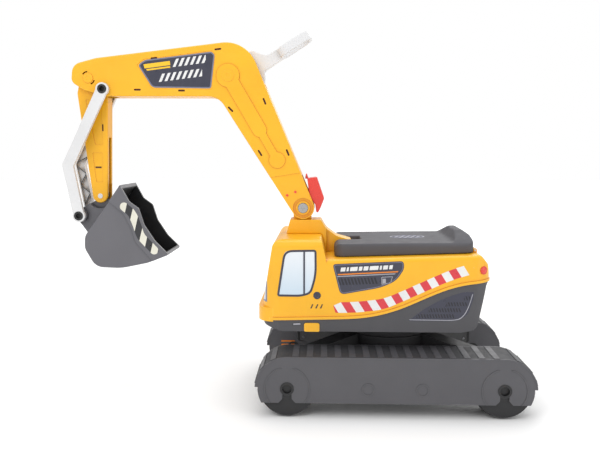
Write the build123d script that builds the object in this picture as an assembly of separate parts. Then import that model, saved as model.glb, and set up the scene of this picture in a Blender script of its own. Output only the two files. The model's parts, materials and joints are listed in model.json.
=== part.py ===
"""Ride-on toy excavator.  Millimetres, +Z up, bucket towards -X, ground at Z = 0.

Everything is drawn with the swivel axis at X = 0, Y = 0.  The finished parts are then
moved along X so that the origin is the bottom centre of the whole machine.
"""
from build123d import *
from math import atan2, cos, degrees, hypot, radians, sin, tan
import os

# ---------------------------------------------------------------- driving dimensions
OVERALL_WIDTH = 290.0
TRACK_GAP = 150.0
WHEELBASE = 316.0
WHEEL_R = 44.0
HOUSE_HALF_WIDTH = 105.0
PAN_BOTTOM = 119.0
ROOF_Z = 258.5
BOOM_THICK = 48.0
DIPPER_THICK = 26.0
BUCKET_WIDTH = 94.0
WALL = 2.4
RUN = 0.06            # radial clearance of a running pin
SIDES = (("left", -1), ("right", 1))
ENDS = (("front", -1), ("rear", 1))

# Pivots, as (X, Z)
BOOM_FOOT = (-138.3, 299.8)
ELBOW = (-256.3, 508.3)
DIPPER_TOP = (-478.6, 505.1)
LINK_TOP = (-454.6, 487.6)
BUCKET_PIVOT = (-468.1, 317.7)
LINK_LOW = (-498.2, 286.7)
LATCH_PIVOT = (-150.5, 325.4)
LATCH_STOP = (-163.5, 320.1)
SEAT_HINGE = (126.0, 239.8)
CRANK = 14.0          # height of both rod pins above their pivots

# Undercarriage
TRACK_WIDTH = (OVERALL_WIDTH - TRACK_GAP) / 2
TRACK_Y = (OVERALL_WIDTH - TRACK_WIDTH) / 2
AXLE_X = WHEELBASE / 2
AXLE_R = 10.34
KEYHOLE_R = AXLE_R + RUN
KEYHOLE_NECK = 13.6
BAND_INNER = 45.3
BAND_OUTER = 47.5
RIB_HEIGHT = 0.8
RIB_PITCH = 20.8
SKIRT_Z = 23.0
SKIRT_R = 43.2
BAND_END_Z = 46.5
TRACK_EMBOSS = 0.6
WHEEL_WIDTH = 45.0
HUB_TOP = 102.0
HUB_BOTTOM = 86.0
HUB_R = 70.0
KINGPIN_R = 6.0

# Pin radii
BOLT_R = 5.0
PIVOT_R = 4.0
ROD_PIN_R = 2.5
RIVET_R = 7.3
LATCH_PIN_R = 2.0
OPEN_PIN_R = 5.0      # lower link pin where it passes the bucket's loose tube
OPEN_BORE_R = 7.6

PARTS = {}


# ---------------------------------------------------------------- drawing helpers
def outline(*corners):
    """Closed face from (x, y) or (x, y, corner radius) points."""
    points = [Vector(c[0], c[1]) for c in corners]
    radii = [c[2] if len(c) > 2 else 0.0 for c in corners]
    arcs = []
    for i, here in enumerate(points):
        before = (points[i - 1] - here).normalized()
        after = (points[(i + 1) % len(points)] - here).normalized()
        if radii[i] == 0:
            arcs.append((here, None, here))
            continue
        half = radians(before.get_angle(after) / 2)
        reach = radii[i] / tan(half)
        inward = (before + after).normalized()
        centre = here + inward * (radii[i] / sin(half))
        arcs.append((here + before * reach, centre - inward * radii[i], here + after * reach))
    edges = []
    for i, (start, middle, end) in enumerate(arcs):
        if middle is not None:
            edges.append(ThreePointArc(start, middle, end))
        following = arcs[(i + 1) % len(arcs)][0]
        if (following - end).length > 1e-6:
            edges.append(Line(end, following))
    return make_face(Wire(edges))


def disc(centre, radius):
    return Pos(centre[0], centre[1]) * Circle(radius)


def bar(start, end, width):
    """Straight bar with round ends."""
    dx = end[0] - start[0]
    dy = end[1] - start[1]
    middle = Pos((start[0] + end[0]) / 2, (start[1] + end[1]) / 2)
    return middle * Rot(0, 0, degrees(atan2(dy, dx))) * SlotCenterToCenter(hypot(dx, dy), width)


def slab(sketch, y_low, y_high):
    """A side-view sketch (X, Z) given thickness from y_low to y_high."""
    return Pos(0, y_low, 0) * extrude(Plane.XZ * sketch, amount=y_low - y_high)


def both_sides(sketch, half):
    return slab(sketch, -half, half)


def sided(sketch, side, inner, outer):
    """A side-view sketch given thickness between two distances from the middle plane."""
    return slab(sketch, inner, outer) if side > 0 else slab(sketch, -outer, -inner)


def pin(centre, radius, y_low, y_high):
    return slab(disc(centre, radius), y_low, y_high)


def box(x0, x1, y0, y1, z0, z1):
    return Pos((x0 + x1) / 2, (y0 + y1) / 2, (z0 + z1) / 2) * Box(x1 - x0, y1 - y0, z1 - z0)


def post(x, y, radius, z0, z1):
    return Pos(x, y, (z0 + z1) / 2) * Cylinder(radius, z1 - z0)


def polar(centre, radius, angle):
    return (centre[0] + radius * cos(radians(angle)), centre[1] + radius * sin(radians(angle)))


def sector(centre, radius, start, end):
    """Pie slice, from the start angle to the end angle in degrees."""
    middle = (start + end) / 2
    wire = Wire([
        Line(centre, polar(centre, radius, start)),
        ThreePointArc(
            polar(centre, radius, start), polar(centre, radius, middle), polar(centre, radius, end)),
        Line(polar(centre, radius, end), centre),
    ])
    return make_face(wire)


def arc_slot(centre, radius, width, middle, span):
    slice_face = sector(centre, radius + width / 2, middle - span / 2, middle + span / 2)
    return slice_face - disc(centre, radius - width / 2)


def add(name, shape):
    PARTS[name] = shape


# ---------------------------------------------------------------- undercarriage
def capsule(radius):
    """Side view of the track: two half circles about the axles and flats between them."""
    return Pos(0, WHEEL_R) * SlotCenterToCenter(WHEELBASE, 2 * radius)


def strip(z_low, z_high):
    return Pos(0, (z_low + z_high) / 2) * Rectangle(2 * OVERALL_WIDTH, z_high - z_low)


def track_wall():
    upper = capsule(BAND_OUTER) & strip(BAND_END_Z, 2 * OVERALL_WIDTH)
    lower = capsule(SKIRT_R) & strip(SKIRT_Z, BAND_END_Z)
    wall = upper + lower
    for _, end in ENDS:
        x = end * AXLE_X
        neck = outline(
            (x - KEYHOLE_NECK / 2, WHEEL_R), (x - KEYHOLE_NECK / 2, SKIRT_Z + 6, 3),
            (x - KEYHOLE_NECK, SKIRT_Z - 1), (x + KEYHOLE_NECK, SKIRT_Z - 1),
            (x + KEYHOLE_NECK / 2, SKIRT_Z + 6, 3), (x + KEYHOLE_NECK / 2, WHEEL_R))
        wall = wall - disc((x, WHEEL_R), KEYHOLE_R) - neck
    return wall


def track_ribs(half):
    """Cross ribs over the top run and round both ends."""
    ribs = []
    rib = Box(RIB_PITCH * 0.42, 2 * half, 2 * RIB_HEIGHT)
    count = int(WHEELBASE / RIB_PITCH)
    for i in range(count):
        x = (i - (count - 1) / 2) * RIB_PITCH
        ribs.append(Pos(x, 0, WHEEL_R + BAND_OUTER) * rib)
    for _, end in ENDS:
        for step in range(1, 4):
            tilt = end * degrees(step * RIB_PITCH / BAND_OUTER)
            ribs.append(Pos(end * AXLE_X, 0, WHEEL_R) * Rot(0, tilt, 0) * Pos(0, 0, BAND_OUTER) * rib)
    return ribs


def track_housing(side):
    half = TRACK_WIDTH / 2
    plate = half - TRACK_EMBOSS
    band = (capsule(BAND_OUTER) - capsule(BAND_INNER)) & strip(BAND_END_Z, 2 * OVERALL_WIDTH)
    body = both_sides(band, half - 0.2)
    for face in (-1, 1):
        body += sided(track_wall(), face, plate - WALL, plate)
    for x in (-62.0, 0.0, 62.0):
        body += box(x - 1, x + 1, WALL - plate, plate - WALL, 42, WHEEL_R + BAND_INNER + 1)
    rings = Circle(9.5) - Circle(7.8)
    for x in (-39.5, 39.5):
        body += sided(Pos(x, WHEEL_R) * rings, side, plate - 0.2, half)
    rim = (Circle(33.5) - Circle(32)) & (Pos(0, 5) * Rectangle(90, 52))
    for _, end in ENDS:
        body += sided(Pos(end * AXLE_X, WHEEL_R) * rim, side, plate - 0.2, half)
    for rib in track_ribs(half - 2.5):
        body += rib
    body = Pos(0, side * TRACK_Y, 0) * body
    for x, z in track_screw_places():
        body -= pin((x, z), 2.0, side * (TRACK_GAP / 2) - 6, side * (TRACK_GAP / 2) + 6)
    return body


def track_screw_places():
    return [(sx * (ARM_X + dx), z) for sx in (-1, 1) for dx in (-18, 18) for z in (64.0, 82.0)]


def track_screws(side):
    shape = None
    face = TRACK_GAP / 2 + TRACK_EMBOSS + WALL
    for place in track_screw_places():
        screw = sided(disc(place, 2.0), side, TRACK_GAP / 2 - 6, face)
        screw += sided(disc(place, 4.0), side, face, face + 2)
        shape = screw if shape is None else shape + screw
    return shape


def wheel_profile():
    """Half section of the wheel: distance from the axle against place across the wheel."""
    half = WHEEL_WIDTH / 2
    hub = TRACK_WIDTH / 2 - TRACK_EMBOSS - WALL - 0.6
    return outline(
        (AXLE_R, -hub), (15, -hub), (14, -3), (35, -3), (36, 2 - half, 1.5), (37.5, -half, 1.5),
        (WHEEL_R, -half, 3), (WHEEL_R, half, 3), (37.5, half, 1.5), (36, half - 2, 1.5), (35, 3),
        (14, 3), (15, hub), (AXLE_R, hub))


def wheel(end, side):
    body = revolve(wheel_profile(), axis=Axis.Y)
    spoke_count = 8
    for i in range(spoke_count):
        spoke = Pos(24.5, 0, 0) * Box(23, WHEEL_WIDTH - 8, 3)
        body += Rot(0, i * 360 / spoke_count, 0) * spoke
    groove_count = 30
    for i in range(groove_count):
        for face in (-1, 1):
            cut = Pos(WHEEL_R, face * (WHEEL_WIDTH / 2 - 4), 0) * Box(2.4, 9, 3)
            body -= Rot(0, (i + 0.25 * face) * 360 / groove_count, 0) * cut
    return Pos(end * AXLE_X, side * TRACK_Y, WHEEL_R) * body


def wheel_axle(end, side):
    half = TRACK_WIDTH / 2
    tube = Circle(AXLE_R) - Circle(7.0)
    centre = Pos(end * AXLE_X, WHEEL_R)
    body = both_sides(centre * tube, half) + both_sides(centre * Circle(7.5), half - 4)
    return Pos(0, side * TRACK_Y, 0) * body


ARM_X = 122.0         # where the chassis arms meet the tracks


def chassis_frame():
    body = post(0, 0, HUB_R, HUB_TOP - 4, HUB_TOP)
    body += post(0, 0, HUB_R, HUB_BOTTOM, HUB_TOP) - post(0, 0, HUB_R - 4, HUB_BOTTOM - 1, HUB_TOP)
    body += post(0, 0, 16, HUB_BOTTOM, HUB_TOP)
    reach = hypot(ARM_X, TRACK_GAP / 2)
    heading = degrees(atan2(TRACK_GAP / 2, ARM_X))
    side_view = outline((12, HUB_BOTTOM), (12, HUB_TOP), (70, HUB_TOP, 20), (reach + 25, 84),
                        (reach + 25, 58), (95, 58, 20), (60, HUB_BOTTOM))
    under = outline((18, HUB_BOTTOM - 9), (18, HUB_TOP - 4), (70, HUB_TOP - 4, 20),
                    (reach + 26, 80), (reach + 26, 50), (18, 50))
    lane = box(-400, 400, -TRACK_GAP / 2, TRACK_GAP / 2, 0, 200)
    arm = both_sides(side_view, 16) - both_sides(under, 12.5)
    for angle in (heading, -heading, 180 - heading, 180 + heading):
        body += (Rot(0, 0, angle) * arm) & lane
    body -= post(0, 0, 15.5, HUB_BOTTOM + 3, HUB_TOP - 4)
    body += post(0, 0, 13, HUB_BOTTOM, HUB_TOP)
    for _, sx in ENDS:
        for _, sy in SIDES:
            pad = outline((sx * ARM_X - 28, 56, 4), (sx * ARM_X + 28, 56, 4),
                          (sx * ARM_X + 28, 88, 4), (sx * ARM_X - 28, 88, 4))
            body += sided(pad, sy, TRACK_GAP / 2 - 4, TRACK_GAP / 2)
    for place in track_screw_places():
        body -= both_sides(disc(place, 2.0), TRACK_GAP / 2 + 1)
    return body - post(0, 0, KINGPIN_R, 60, 120)


def undercarriage():
    for name, side in SIDES:
        add(f"{name}_track_housing", track_housing(side))
        add(f"{name}_track_screws", track_screws(side))
        for end_name, end in ENDS:
            add(f"{end_name}_{name}_wheel", wheel(end, side))
            add(f"{end_name}_{name}_axle", wheel_axle(end, side))
    add("chassis_frame", chassis_frame())
    ring_top = HUB_TOP + 8
    add("turntable_ring", post(0, 0, 66, HUB_TOP, ring_top) - post(0, 0, 54, 90, 120))
    add("kingpin", post(0, 0, KINGPIN_R, HUB_BOTTOM, 141) + post(0, 0, 11, HUB_BOTTOM - 5, HUB_BOTTOM))
    hexagon = extrude(RegularPolygon(9, 6) - Circle(KINGPIN_R), amount=7)
    add("kingpin_nut", Pos(0, 0, 133.5) * hexagon)


# ---------------------------------------------------------------- house
HOUSE_FRONT = -197.5
HOUSE_REAR = 145.0
PAN_WALL = 2.6
PAN_INSET = 0.9
LIP = 1.3
LIP_HEIGHT = 4.0
CAB_REAR = -101.5
DECK_END = 128.0
DECK_FRONT_Z = 229.0
DECK_REAR_Z = 236.5


def hull_side():
    """Side view of pan and shell together: cab at the front, low deck behind."""
    return outline(
        (-168, PAN_BOTTOM, 10), (-197, 128, 6), (HOUSE_FRONT, 156, 2), (-180.5, ROOF_Z, 14),
        (CAB_REAR - 7, ROOF_Z, 3), (CAB_REAR, DECK_FRONT_Z, 3), (DECK_END, DECK_REAR_Z, 4),
        (140.5, 222, 8),
        (HOUSE_REAR, 198, 2), (139.5, 190, 3), (124, PAN_BOTTOM + 4, 16), (100, PAN_BOTTOM, 8))


def deck_z(x):
    """Height of the sloping deck under the seat."""
    slope = (DECK_REAR_Z - DECK_FRONT_Z) / (DECK_END - CAB_REAR)
    return DECK_FRONT_Z + slope * (x - CAB_REAR)


def hull_plan(inset):
    length = HOUSE_REAR - HOUSE_FRONT - 2 * inset
    width = 2 * (HOUSE_HALF_WIDTH - inset)
    return Pos((HOUSE_REAR + HOUSE_FRONT) / 2, 0) * RectangleRounded(length, width, 26 - inset)


def hull_section(top, rounding, inset):
    """Front view (Y, Z) below a rounded top edge."""
    half = HOUSE_HALF_WIDTH - inset
    radius = rounding - inset
    return outline((-half, 0), (half, 0), (half, top - inset, radius), (-half, top - inset, radius))


def hull(inset):
    """Pan and shell as one block, its skin drawn in by inset."""
    side_face = hull_side() if inset == 0 else offset(hull_side(), -inset)
    block = both_sides(side_face, 2 * HOUSE_HALF_WIDTH) & extrude(hull_plan(inset), amount=400)
    across = Plane(origin=(0, 0, 0), x_dir=(0, 1, 0), z_dir=(1, 0, 0))
    cab_x = CAB_REAR + inset
    cab = extrude(across * hull_section(ROOF_Z, 12, inset), amount=500, both=True)
    cab &= box(-500, cab_x, -200, 200, 0, 500)
    slope = degrees(atan2(DECK_REAR_Z - DECK_FRONT_Z, DECK_END - CAB_REAR))
    deck = extrude(across * hull_section(DECK_FRONT_Z, 7, inset), amount=500, both=True)
    deck = Pos(CAB_REAR, 0, DECK_FRONT_Z) * Rot(0, -slope, 0) * Pos(0, 0, -DECK_FRONT_Z) * deck
    deck &= box(cab_x, 500, -200, 200, 0, 500)
    return block & (cab + deck)


def below_seam():
    """Everything under the wavy joint between the grey pan and the yellow shell."""
    seam = Spline((-210, 136), (-150, 137.5), (-95, 139), (-43, 142), (7, 154.5), (53, 174.5),
                  (98, 190.5), (122, 194.5), (150, 197))
    edges = [seam, Line((150, 197), (150, 100)), Line((150, 100), (-210, 100)),
             Line((-210, 100), (-210, 136))]
    return both_sides(make_face(Wire(edges)), 2 * HOUSE_HALF_WIDTH)


POST_PLACES = [(x, y) for x in (-120.0, 88.0) for y in (-82.0, 82.0)]
POST_SPLIT_Z = 150.0
TRAY_X = (-36.0, 108.0)
TRAY_HALF = 70.0
TRAY_FLOOR = 152.0


def lower_pan(outer, inner, under):
    body = ((outer & hull(PAN_INSET)) - inner) & under
    for x, y in POST_PLACES:
        body += post(x, y, 6, PAN_BOTTOM + 1, POST_SPLIT_Z)
    body += post(0, 0, 16, PAN_BOTTOM, 132)
    for angle in range(0, 360, 45):
        body += Rot(0, 0, angle) * box(10, 60, -1.2, 1.2, PAN_BOTTOM + 1, 128)
    for x, y in POST_PLACES:
        body = body - post(x, y, 2.2, 100, 200) - post(x, y, 4.5, 100, PAN_BOTTOM + 4)
    return body - post(0, 0, KINGPIN_R + RUN, 100, 200)


def window_face(side):
    """The cab's side window, rounded towards the door sill."""
    return outline((-174, 174, 3), (-163.5, 242.5, 9), (-116.5, 243.5, 3), (-116, 206, 12),
                   (-124, 178, 14), (-140, 173.8, 6))


def seam_lip(inner, under):
    """Narrow rim that stands out along the yellow shell's lower edge."""
    return (hull(-LIP) & (Pos(0, 0, LIP_HEIGHT) * under)) - under - inner


def upper_shell(outer, inner, under, lip, panels):
    body = (outer - inner) - under + lip
    for x, y in POST_PLACES:
        top = ROOF_Z if x < CAB_REAR else deck_z(x)
        body += post(x, y, 6, POST_SPLIT_Z, top - 1)
        body -= post(x, y, 2.2, 100, POST_SPLIT_Z + 22)
    body -= box(TRAY_X[0], TRAY_X[1], -TRAY_HALF, TRAY_HALF, 200, 260)
    for _, side in SIDES:
        for y0, y1 in HINGE_SHELL_LUGS:
            body += hinge_lug(side, y0, y1, SEAT_HINGE[1] - 5, 0)
        for x in (-122.5, -115.0, -108.0):
            slit = bar((x - 1.4, 156), (x + 1.4, 161), 1.8)
            body -= sided(slit, side, HOUSE_HALF_WIDTH - 1, HOUSE_HALF_WIDTH + 1)
    body -= pin(SEAT_HINGE, HINGE_PIN_R, -80, 80)
    for panel in panels:
        body -= panel
    for x, y in PEDESTAL_SCREWS:
        body -= post(x, y, 2.0, 200, 300)
    return body


HINGE_R = 2.8
HINGE_PIN_R = 1.4
HINGE_SHELL_LUGS = ((30.0, 39.6), (60.4, 70.0))
HINGE_SEAT_LUG = (40.0, 60.0)


def hinge_lug(side, y0, y1, z_low, reach):
    """A knuckle about the seat's hinge line, with a foot down to z_low or a tongue forward."""
    knuckle = disc(SEAT_HINGE, HINGE_R)
    if reach:
        knuckle += outline((SEAT_HINGE[0] - reach, SEAT_HINGE[1] - HINGE_R),
                           (SEAT_HINGE[0], SEAT_HINGE[1] - HINGE_R),
                           (SEAT_HINGE[0], SEAT_HINGE[1] + HINGE_R),
                           (SEAT_HINGE[0] - reach, SEAT_HINGE[1] + HINGE_R))
    else:
        knuckle += outline((SEAT_HINGE[0] - HINGE_R, z_low), (SEAT_HINGE[0] + HINGE_R, z_low),
                           (SEAT_HINGE[0] + HINGE_R, SEAT_HINGE[1]),
                           (SEAT_HINGE[0] - HINGE_R, SEAT_HINGE[1]))
    return sided(knuckle, side, y0, y1)


PEDESTAL_SCREWS = [(x, y) for x in (-152.0, -126.0) for y in (-15.0, 15.0)]
SHOULDER_Z = 281.0
TONGUE_HALF = 11.0
TONGUE_R = 18.0


def boom_pedestal(outer):
    base = outline((-170, 240), (-154.5, 297, 6), (-150, 299), (-128, 297), (-112, 285),
                   (-101.4, 267.2, 25), (-84, 254.5, 25), (-61, 248, 1.5), (-57, 240, 1.5),
                   (-57, 226), (-171, 226))
    below = strip(200, SHOULDER_Z)
    body = both_sides(base & below & (Pos(-140, 250) * Rectangle(78, 100)), 24)
    body += both_sides(base & below, 18)
    neck = outline((-154, 270), (-125, 270), (-125, BOOM_FOOT[1]), (-154, BOOM_FOOT[1]))
    tongue = neck + disc(BOOM_FOOT, TONGUE_R)
    for angle in (30, 45, 60, 75, 90):
        tongue -= disc(polar(BOOM_FOOT, TONGUE_R + 0.8, angle), 2.0)
    body += both_sides(tongue, TONGUE_HALF)
    body -= outer
    for x, y in PEDESTAL_SCREWS:
        body -= post(x, y, 2.0, 200, 272)
    return body - pin(BOOM_FOOT, BOLT_R + RUN, -30, 30)


def pedestal_screws():
    shape = None
    roof_inside = ROOF_Z - PAN_WALL
    for x, y in PEDESTAL_SCREWS:
        screw = post(x, y, 2.0, roof_inside - 0.01, 272)
        screw += post(x, y, 4.0, roof_inside - 2.2, roof_inside)
        shape = screw if shape is None else shape + screw
    return shape


def front_bumper(outer, lip):
    plan = Pos(-114.3, 0) * RectangleRounded(180, 2 * HOUSE_HALF_WIDTH - 3, 27)
    bar_body = extrude(Plane.XY.offset(134) * plan, amount=21)
    bar_body &= box(-210, -165, -120, 120, 130, 160)
    return bar_body - outer - lip


def storage_tray():
    """Open box let into the deck, hanging by its rim."""
    gap = 0.3
    wall = 2.2
    x0, x1 = TRAY_X[0] + gap, TRAY_X[1] - gap
    half = TRAY_HALF - gap
    rim = 4.0
    rim_thick = 2.0
    body = box(x0, x1, -half, half, TRAY_FLOOR, 260)
    front_deck = (x0 - rim, deck_z(x0 - rim))
    rear_deck = (x1 + rim, deck_z(x1 + rim))
    front_top = (front_deck[0], front_deck[1] + rim_thick)
    rear_top = (rear_deck[0], rear_deck[1] + rim_thick)
    rim_side = outline(front_deck, rear_deck, rear_top, front_top)
    below_rim = outline((x0 - rim, 100), (x1 + rim, 100), rear_top, front_top)
    body = (body & both_sides(below_rim, half + rim)) + both_sides(rim_side, half + rim)
    return body - box(x0 + wall, x1 - wall, wall - half, half - wall, TRAY_FLOOR + wall, 300)


def shell_clip(side):
    tab = outline((-134, PAN_BOTTOM + 1, 2), (-111, PAN_BOTTOM + 1, 2), (-111, 133, 3), (-134, 133, 3))
    return sided(tab, side, HOUSE_HALF_WIDTH - PAN_INSET, HOUSE_HALF_WIDTH + 1.5)


def house_screws():
    shape = None
    for x, y in POST_PLACES:
        screw = post(x, y, 2.2, PAN_BOTTOM + 2, POST_SPLIT_Z + 20)
        screw += post(x, y, 4.5, PAN_BOTTOM + 2, PAN_BOTTOM + 4)
        shape = screw if shape is None else shape + screw
    return shape


def turntable_cover():
    body = post(0, 0, 50, HUB_TOP + 1, PAN_BOTTOM) + post(0, 0, 68, HUB_TOP + 8.3, PAN_BOTTOM)
    return body - post(0, 0, KINGPIN_R + RUN, 90, 130)


SEAT_HALF = 83.0
SEAT_NOTCH = (-46.0, 22.0)


def seat_arch(inset):
    """Front view of the seat as a long block: soft side edges and an arched back rest."""
    half = SEAT_HALF - inset
    across = Plane(origin=(0, 0, 0), x_dir=(0, 1, 0), z_dir=(1, 0, 0))
    face = outline((-half, 200), (half, 200), (half, 250.5 - inset, 6 - inset),
                   (half - 14, 256 - inset, 20), (0, 276 - inset, 60),
                   (14 - half, 256 - inset, 20), (-half, 250.5 - inset, 6 - inset))
    return extrude(across * face, amount=300, both=True)


def seat():
    """Lid over the storage tray: flat pad, raised rear lip, notch round the pedestal's tail."""
    side_view = outline(
        (-88.5, 229.8, 1), (-88.3, 249.6, 9), (0, 251), (93, 252.2, 8), (101, 267, 5),
        (112, 267.5, 8), (121.5, 260.5, 4), (122.8, 237.2, 1))
    under = outline((-85.5, 220), (-85.5, 246.6, 6), (0, 248), (92, 249, 6), (102, 263.5, 3),
                    (110, 264, 5), (118.8, 258.5, 2), (119.8, 220))
    plan = Pos(17.2, 0) * RectangleRounded(211.4, 2 * SEAT_HALF, 14)
    body = both_sides(side_view, 100) & extrude(plan, amount=400) & seat_arch(0)
    inner_plan = Pos(17.2, 0) * RectangleRounded(205.4, 2 * SEAT_HALF - 6, 11)
    hollow = both_sides(under, 100) & extrude(inner_plan, amount=400) & seat_arch(3)
    notch_x, notch_half = SEAT_NOTCH
    wall = box(-90, notch_x + 3, -notch_half - 3, notch_half + 3, 200, 300)
    body = body - (hollow - wall) - box(-95, notch_x, -notch_half, notch_half, 200, 300)
    for _, side in SIDES:
        body += hinge_lug(side, *HINGE_SEAT_LUG, 0, 5)
    return body - pin(SEAT_HINGE, HINGE_PIN_R + RUN, -80, 80)


def seat_hinge_pins():
    low = HINGE_SHELL_LUGS[0][0]
    high = HINGE_SHELL_LUGS[1][1]
    face = disc(SEAT_HINGE, HINGE_PIN_R)
    return sided(face, -1, low, high) + sided(face, 1, low, high)


def house():
    outer = hull(0)
    inner = hull(PAN_WALL)
    under = below_seam()
    skin = outer - hull(1.3)
    screen_area = box(-210, -150, -97, 97, 163, 253)
    windscreen = skin & screen_area & extrude(hull_plan(-5), amount=300)
    panels = {"windscreen": windscreen}
    for name, side in SIDES:
        panels[f"{name}_window"] = sided(
            window_face(side), side, HOUSE_HALF_WIDTH - 1.3, HOUSE_HALF_WIDTH) & outer
    for name, shape in panels.items():
        add(name, shape)
    add("lower_pan", lower_pan(outer, inner, under))
    lip = seam_lip(inner, under)
    add("upper_shell", upper_shell(outer, inner, under, lip, panels.values()))
    add("boom_pedestal", boom_pedestal(outer))
    add("pedestal_screws", pedestal_screws())
    add("front_bumper", front_bumper(outer, lip))
    add("storage_tray", storage_tray())
    add("house_screws", house_screws())
    add("turntable_cover", turntable_cover())
    add("seat_hinge_pins", seat_hinge_pins())
    add("seat", seat())
    for name, side in SIDES:
        add(f"{name}_shell_clip", shell_clip(side))


# ---------------------------------------------------------------- boom
BOOM_HALF = BOOM_THICK / 2
BOOM_ROUND = 2.0
BOOM_SLOTS = (
    (-271.7, 548.8, 6.6), (-373.1, 535.6, 6.6), (-400.4, 486.7, 0), (-330.2, 485.1, 0),
    (-252.7, 455.8, -45), (-199.0, 468.1, -67.6), (-206.5, 387.1, -57.4), (-162.6, 387.9, -67.6))
BOOM_SCREWS = ((-345.0, 489.0), (-236.0, 437.0), (-178.0, 352.0), (-300.0, 540.0), (-420.0, 488.0))
PANEL_CORNERS = ((-401, 525.5, 3), (-388.5, 534.5, 3), (-280.5, 547, 3), (-275.5, 541.5, 3),
                 (-281.5, 486.5, 3), (-377.5, 488, 5))


def round_tip(centre, radius, heading, half_angle):
    """Corner that puts a round end of that radius about centre, between two lines that
    would meet on the heading, each half_angle degrees off it."""
    reach = radius / sin(radians(half_angle))
    x, z = polar(centre, reach, heading)
    return (x, z, radius)


def boom_side():
    """Cranked arm: round foot, long elbow curve, blunt end about the dipper pivot."""
    return outline(
        round_tip(BOOM_FOOT, 18, -62.5, 5.1), (-241, 427, 90), (-272, 476, 30), (-452, 476.7, 14),
        (-486, 486.5, 25), (-506.2, 499, 12), (-503.5, 526.5, 17), (-466, 536.3, 30),
        (-227.5, 563.6, 50))


def round_over(body, side, radius):
    """Rounds the edges of a side piece's outer face."""
    outer_face = body.faces().sort_by(Axis.Y)[-1 if side > 0 else 0]
    return fillet(outer_face.edges(), radius)


def boom_shell(side):
    face = boom_side()
    body = round_over(sided(face, side, 0, BOOM_HALF), side, BOOM_ROUND)
    body -= sided(offset(face, -WALL), side, -1, BOOM_HALF - WALL)
    for place in BOOM_SCREWS:
        body += sided(disc(place, 4.2), side, 0, BOOM_HALF - 1)
    # the lower section steps back below a slanted crease, and a panel is recessed above
    lower = outline((-200, 347.3), (-100, 362.3), (-90, 250), (-200, 250))
    body -= sided(lower, side, BOOM_HALF - 0.7, BOOM_HALF + 1)
    body -= sided(outline(*PANEL_CORNERS), side, BOOM_HALF - 0.5, BOOM_HALF + 1)
    # raised boss, ram and rod on the cheek, as on a real machine's hydraulics
    foot = (-179.3, 375.8)
    barrel_end = (-207.0, 423.5)
    relief = bar(ELBOW, barrel_end, 22) + bar(barrel_end, foot, 12) + disc(foot, 12.5)
    relief += disc(ELBOW, 18)
    body += sided(relief, side, BOOM_HALF - 1, BOOM_HALF + 1.3)
    body += sided(disc(BOOM_FOOT, 17.5), side, BOOM_HALF - WALL - 1.5, BOOM_HALF - 1)
    body += sided(disc(BOOM_FOOT, 11), side, BOOM_HALF - 1, BOOM_HALF + 1)
    body -= sided(disc(BOOM_FOOT, 16) - disc(BOOM_FOOT, 11), side, BOOM_HALF - 2, BOOM_HALF + 2)
    body -= sided(disc(BOOM_FOOT, 8.4), side, BOOM_HALF - 0.6, BOOM_HALF + 2)
    body += sided(disc(ELBOW, 9.5), side, BOOM_HALF - 1, BOOM_HALF + 1.6)
    body += sided(disc(DIPPER_TOP, 7.5), side, BOOM_HALF - 8, BOOM_HALF + 0.9)
    # openings along the edges: lever, dipper, latch and the pedestal's tongue
    lever_slot = sector(ELBOW, 70, -17, 62) - disc(ELBOW, 40)
    body -= both_sides(lever_slot, 7.2)
    dipper_slot = outline((-520, 503), (-482, 503), (-440, 486), (-436, 465), (-520, 465))
    body -= both_sides(dipper_slot, 14.5)
    latch_slot = outline((-152, 352), (-120, 352), (-95, 285), (-128, 285))
    body -= both_sides(latch_slot, 15.6)
    foot_slot = outline((-175, 316), (-152, 322), (-120, 322), (-100, 270), (-175, 270))
    body -= both_sides(foot_slot, TONGUE_HALF + 0.5)
    for x, z, turn in BOOM_SLOTS:
        slot = Pos(x, z) * Rot(0, 0, turn) * SlotOverall(11, 3)
        body -= sided(slot, side, BOOM_HALF - WALL - 1, BOOM_HALF + 2)
    for angle in (120, -42):
        slot = arc_slot(DIPPER_TOP, 10.2, 2.2, angle, 50)
        body -= sided(slot, side, BOOM_HALF - WALL - 1, BOOM_HALF + 2)
    body -= pin(BOOM_FOOT, BOLT_R, -40, 40)
    body -= pin(ELBOW, PIVOT_R, -40, 40)
    body -= pin(DIPPER_TOP, PIVOT_R, -40, 40)
    body -= pin(LINK_TOP, RIVET_R, -40, 40)
    body -= pin(LATCH_PIVOT, LATCH_PIN_R, -40, 40)
    body -= pin(LATCH_STOP, LATCH_PIN_R, -40, 40)
    for place in BOOM_SCREWS:
        body -= pin(place, 1.8, -20, 40)
        body -= pin(place, 3.4, BOOM_HALF - 2, 40)
    return body


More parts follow.
